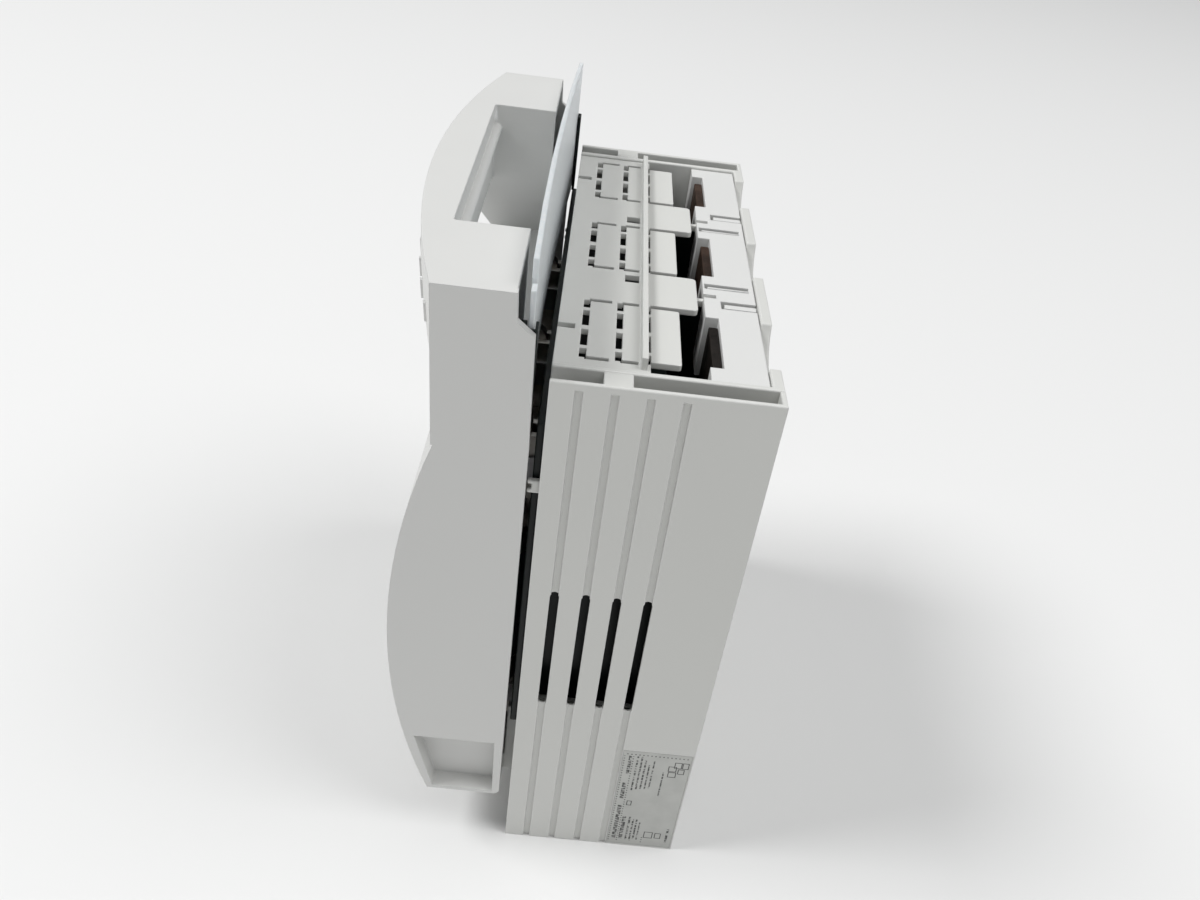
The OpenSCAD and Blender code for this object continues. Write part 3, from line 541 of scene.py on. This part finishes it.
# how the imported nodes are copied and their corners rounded
softening = {
    "merge": 0.000001,  # metres within which points are one
    "flat": 0.6,        # degrees within which neighbouring faces count as one
    "flatOf": {"cover_shell": 0.1, "top_cover": 0.1},
    "corner": 30.0,     # degrees from which an edge is a corner
    "crease": 12.0,     # degrees from which an edge stays crisp on a piece with sharp corners
    "run": 35.0,        # degrees of turn that end a smooth run of edges
    "reach": 6,         # widths over which room beside a corner is looked for
    "roomShare": 0.42,  # share of that room a bevel may take
    "least": 0.45,      # share of the full width below which a corner stays sharp
    "tries": (1.0, 1.0, 0.8, 0.6, 0.6, 0.4, 0.4),  # shares of the width, until no face folds
    "fold": 0.12,       # square mm of folded triangle that goes unseen
    "facing": 0.7,      # least cosine between a triangle and its own face
    "specks": 2.5,      # square mm of folds a whole piece may keep
    "clear": 1.0,       # mm round a fold within which corners stay sharp at the next try
    "rounds": 2,        # segments across a bevel
    "evenness": 80,     # weight of large faces in the shading
}


def selectOnly(piece):
    bpy.ops.object.select_all(action="DESELECT")
    piece.select_set(True)
    bpy.context.view_layer.objects.active = piece


def copyMesh(piece, node):
    piece.data = frame["nodes"][node].data.copy()
    piece.data.name = piece.name
    piece.data.materials.clear()
    selectOnly(piece)
    bpy.ops.object.mode_set(mode="EDIT")
    bpy.ops.mesh.select_all(action="SELECT")
    bpy.ops.mesh.remove_doubles(threshold=softening["merge"])
    flat = softening["flatOf"].get(node, softening["flat"])
    bpy.ops.mesh.dissolve_limited(angle_limit=math.radians(flat))
    bpy.ops.object.mode_set(mode="OBJECT")


def roomBeside(coords, ring, start, reach):
    # least distance from one edge of a face to the rest of that face, past the edge's own smooth run
    n = len(ring)
    a, b = coords[ring[start]], coords[ring[(start + 1) % n]]
    skip = {start, (start + 1) % n}
    for step in (1, -1):
        i = (start + 1) % n if step == 1 else start
        way = (b - a) * step
        gone = 0.0
        while gone < reach:
            j = (i + step) % n
            nextWay = coords[ring[j]] - coords[ring[i]]
            skip.add(j)
            if way.angle(nextWay, 0.0) > math.radians(softening["run"]):
                break
            gone += nextWay.length
            way, i = nextWay, j
            if j == start:
                break
    along = b - a
    size = max(along.length_squared, 1e-18)
    least = reach
    for k in range(n):
        if k in skip:
            continue
        p = coords[ring[k]]
        share = min(1.0, max(0.0, (p - a).dot(along) / size))
        least = min(least, (p - a - along * share).length)
    return least


def weighCorners(mesh, width, spoiled, clear):
    # each corner edge gets a bevel no wider than the faces beside it have room for
    folds = KDTree(len(spoiled))
    for i, spot in enumerate(spoiled):
        folds.insert(spot, i)
    folds.balance()
    near = [bool(spoiled) and folds.find(v.co)[2] < clear for v in mesh.vertices]
    coords = [v.co for v in mesh.vertices]
    normals = [p.normal for p in mesh.polygons]
    beside = {}
    for face in mesh.polygons:
        ring = list(face.vertices)
        for k in range(len(ring)):
            pair = tuple(sorted((ring[k], ring[(k + 1) % len(ring)])))
            beside.setdefault(pair, []).append((face.index, k))
    weights = mesh.attributes.new("bevel_weight_edge", "FLOAT", "EDGE")
    corner = math.radians(softening["corner"])
    for edge in mesh.edges:
        both = beside[tuple(sorted(edge.vertices))]
        if near[edge.vertices[0]] or near[edge.vertices[1]]:
            continue
        if len(both) != 2 or normals[both[0][0]].angle(normals[both[1][0]], 0.0) < corner:
            continue
        reach = softening["reach"] * width
        least = min(roomBeside(coords, list(mesh.polygons[f].vertices), k, reach) for f, k in both)
        weight = min(1.0, softening["roomShare"] * least / width)
        if weight > softening["least"]:
            weights.data[edge.index].value = weight


def roundCorners(piece, width, spoiled, clear):
    weighCorners(piece.data, width, spoiled, clear)
    bpy.ops.object.shade_smooth_by_angle(angle=math.radians(softening["corner"]))
    bevel = piece.modifiers.new("softEdges", "BEVEL")
    bevel.width = width
    bevel.segments = softening["rounds"]
    bevel.limit_method = "WEIGHT"
    bevel.use_clamp_overlap = False
    bevel.loop_slide = False
    bpy.ops.object.modifier_apply(modifier=bevel.name)


def foldedSpots(mesh):
    # corners and area of the triangles that face against their own face
    mesh.calc_loop_triangles()
    points = mesh.vertices
    spots = []
    total = 0.0
    for tri in mesh.loop_triangles:
        a, b, c = (points[i].co for i in tri.vertices)
        across = (b - a).cross(c - a)
        area = across.length / 2 / mm / mm
        facing = across.dot(mesh.polygons[tri.polygon_index].normal)
        if area > softening["fold"] and facing < softening["facing"] * across.length:
            spots += [a.copy(), b.copy(), c.copy()]
            total += area
    return spots, total


def soften(node, name, material, body, width):
    # a rounded copy of a node, made at the try that folds least
    piece = bpy.data.objects.new(name, frame["nodes"][node].data)
    scene.collection.objects.link(piece)
    spoiled = []
    best = None
    for attempt, share in enumerate(softening["tries"]):
        way = (width * share * mm, list(spoiled), softening["clear"] * mm * (1 + attempt))
        copyMesh(piece, node)
        roundCorners(piece, *way)
        folds, total = foldedSpots(piece.data)
        if best is None or total < best[0]:
            best = (total, attempt, way)
        if not folds:
            break
        spoiled += folds
    copyMesh(piece, node)
    crisp = softening["crease"]
    if best[0] < softening["specks"]:
        roundCorners(piece, *best[2])
        crisp = softening["corner"]
    bpy.ops.object.shade_smooth_by_angle(angle=math.radians(crisp))
    even = piece.modifiers.new("evenShade", "WEIGHTED_NORMAL")
    even.mode = "FACE_AREA"
    even.weight = softening["evenness"]
    even.keep_sharp = True
    bpy.ops.object.modifier_apply(modifier=even.name)
    piece.data.materials.append(materials[material])
    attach(piece, body)
    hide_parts(node)
    print("softened", name, "at try", best[1] + 1, "folds left, square mm:", round(best[0], 2))


# node, piece, material, slot, and the width of its rounded corners in mm
softNodes = [
    ("base_housing", "baseHousing", "basePlastic", "base_plastic", 0.45),
    ("side_cover_right", "sideCoverRight", "basePlastic", "base_plastic", 0.45),
    ("side_cover_left", "sideCoverLeft", "basePlastic", "base_plastic", 0.45),
    ("top_cover", "topCover", "basePlastic", "base_plastic", 0.3),
    ("bottom_cover", "bottomCover", "basePlastic", "base_plastic", 0.3),
    ("terminal_block_top", "terminalBlockTop", "terminalPlastic", "terminal_plastic", 0.45),
    ("terminal_block_bottom", "terminalBlockBottom", "terminalPlastic", "terminal_plastic", 0.45),
    ("phase_barriers", "phaseBarriers", "blackPlastic", "black_plastic", 0.3),
    ("contact_block", "contactBlock", "blackPlastic", "black_plastic", 0.35),
    ("hinge_brackets", "hingeBrackets", "basePlastic", "base_plastic", 0.3),
    ("block_screws", "blockScrews", "zincSteel", "steel", 0.2),
    ("jaw_screws", "jawScrews", "zincSteel", "steel", 0.25),
    ("jaw_springs", "jawSprings", "zincSteel", "steel", 0.15),
    ("terminal_nuts", "terminalNuts", "zincSteel", "steel", 0.4),
    ("arc_plates", "arcPlates", "zincSteel", "steel", 0.15),
    ("bracket_screws", "bracketScrews", "zincSteel", "steel", 0.25),
    ("rating_label", "ratingLabel", "labelFilm", "label", 0.05),
    ("cover_shell", "coverShell", "coverPlastic", "cover_plastic", 0.5),
    ("hinge_pins", "hingePins", "zincSteel", "steel", 0.3),
    ("fuse_frame", "fuseFrame", "blackPlastic", "black_plastic", 0.35),
    ("frame_screws", "frameScrews", "zincSteel", "steel", 0.3),
    ("fuse_clips", "fuseClips", "silverPlate", "plated_copper", 0.15),
    ("clip_rivets", "clipRivets", "zincSteel", "steel", 0.2),
    ("inspection_lenses", "inspectionLenses", "clearPlastic", "clear_plastic", 0.2),
    ("guard_rails", "guardRails", "blackPlastic", "black_plastic", 0.25),
    ("hand_guard", "handGuard", "frostedPlastic", "clear_plastic", 0.3),
]
for i in (1, 2, 3):
    softNodes += [
        (f"upper_jaw_{i}", f"upperJaw{i}", "silverPlate", "plated_copper", 0.3),
        (f"lower_jaw_{i}", f"lowerJaw{i}", "silverPlate", "plated_copper", 0.3),
        (f"top_bar_{i}", f"topBar{i}", "sootyCopper" if i == 3 else "dullCopper", "copper", 0.35),
        (f"bottom_bar_{i}", f"bottomBar{i}", "dullCopper", "copper", 0.35),
        (f"fuse_tube_{i}", f"fuseTube{i}", "fuseTube", "fuse_tube", 0.3),
        (f"fuse_caps_{i}", f"fuseCaps{i}", "silverPlate", "plated_copper", 0.5),
        (f"fuse_blades_{i}", f"fuseBlades{i}", "silverPlate", "plated_copper", 0.3),
    ]

bodies = frame["record"]["behaviour"]["bodies"]
bodyOf = {node: body for body, nodes in bodies.items() for node in nodes}
for node, name, material, slot, width in softNodes:
    soften(node, name, material, bodyOf[node], width)
print("stage: softened", len(softNodes), "pieces")
